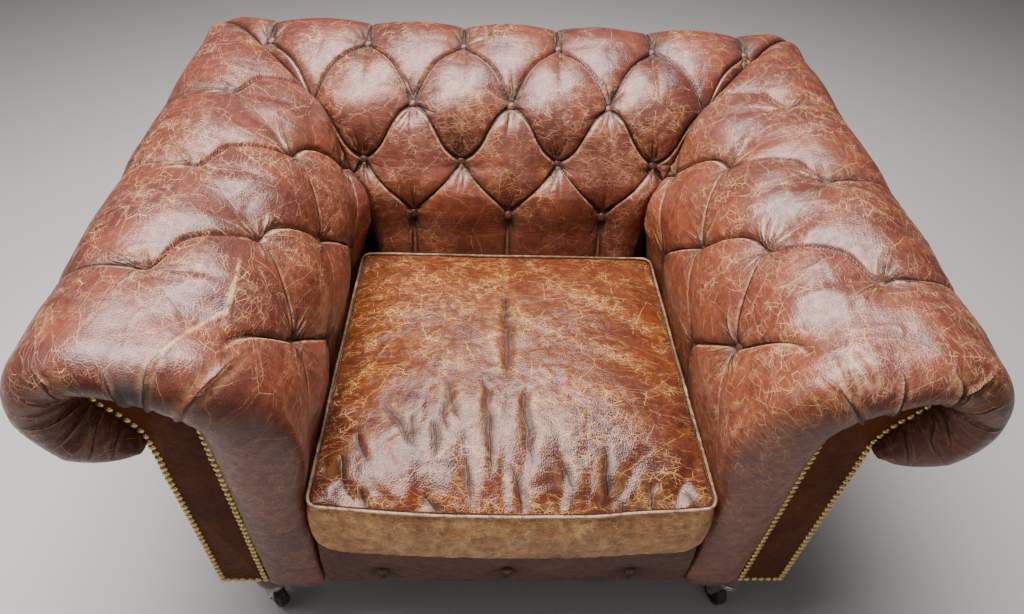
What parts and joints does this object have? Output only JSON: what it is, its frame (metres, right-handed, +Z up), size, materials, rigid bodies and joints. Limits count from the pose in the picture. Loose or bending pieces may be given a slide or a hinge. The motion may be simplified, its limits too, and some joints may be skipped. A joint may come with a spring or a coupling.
{
  "type": "club chair",
  "caption": "Deep-buttoned leather club chair with rolled arms and back, a loose seat cushion and castered front feet.",
  "frame": {"origin": "on the floor, under the middle of the chair's width and depth", "axes": "+X to the sitter's left as seen from the front of the chair, to the right of the picture; -Y out of the front of the seat; +Z up"},
  "size_m": [1.1906, 0.9277, 0.7558],
  "materials": {
    "tufted_leather": "aged, waxed and crackled",
    "cushion_leather": "aged, creased and glossy in patches",
    "welt_leather": "worn pale",
    "facing_leather": "smooth satin",
    "beech": "sawn",
    "dark_wood": "stained and waxed",
    "webbing": "woven jute",
    "deck_cloth": "plain weave",
    "cover_cloth": "plain weave",
    "steel": "worn plating",
    "wheel_plastic": "scuffed"
  },
  "bodies": {
    "chair": {"inside_back": "tufted_leather", "inside_arm_left": "tufted_leather", "inside_arm_right": "tufted_leather", "front_border": "tufted_leather", "seat_cushion": "cushion_leather", "cushion_welt": "welt_leather", "facing_left": "facing_leather", "facing_right": "facing_leather", "outside_arm_left": "facing_leather", "outside_arm_right": "facing_leather", "outside_back": "facing_leather", "front_rail": "beech", "back_rail": "beech", "side_rail_left": "beech", "side_rail_right": "beech", "corner_block_front_left": "beech", "corner_block_front_right": "beech", "corner_block_back_left": "beech", "corner_block_back_right": "beech", "front_stump_left": "beech", "front_stump_right": "beech", "rear_post_left": "beech", "rear_post_right": "beech", "arm_top_rail_left": "beech", "arm_top_rail_right": "beech", "arm_tack_rail_left": "beech", "arm_tack_rail_right": "beech", "arm_upright_left": "beech", "arm_upright_right": "beech", "back_tack_rail": "beech", "back_top_rail": "beech", "back_upright_left": "beech", "back_upright_right": "beech", "cross_strap_1": "webbing", "cross_strap_2": "webbing", "cross_strap_3": "webbing", "long_strap_1": "webbing", "long_strap_2": "webbing", "long_strap_3": "webbing", "seat_deck": "deck_cloth", "dust_cover": "cover_cloth", "front_foot_left": "dark_wood", "front_foot_right": "dark_wood", "rear_leg_left": "dark_wood", "rear_leg_right": "dark_wood", "caster_socket_left": "steel", "caster_socket_right": "steel"},
    "caster_left": {"caster_fork_left": "steel", "caster_axle_left": "steel"},
    "wheel_left": {"caster_wheel_left": "wheel_plastic"},
    "caster_right": {"caster_fork_right": "steel", "caster_axle_right": "steel"},
    "wheel_right": {"caster_wheel_right": "wheel_plastic"}
  },
  "joints": [
    {"name": "caster_swivel_left", "type": "hinge", "parent": "chair", "child": "caster_left", "pos_m": [-0.395, -0.3835, 0.09], "axis": [0, 0, 1], "continuous": true},
    {"name": "wheel_spin_left", "type": "hinge", "parent": "caster_left", "child": "wheel_left", "pos_m": [-0.40649, -0.37386, 0.028], "axis": [0.6428, 0.766, 0], "continuous": true},
    {"name": "caster_swivel_right", "type": "hinge", "parent": "chair", "child": "caster_right", "pos_m": [0.395, -0.3835, 0.09], "axis": [0, 0, 1], "continuous": true},
    {"name": "wheel_spin_right", "type": "hinge", "parent": "caster_right", "child": "wheel_right", "pos_m": [0.39112, -0.36901, 0.028], "axis": [0.9659, 0.2588, 0], "continuous": true}
  ]
}
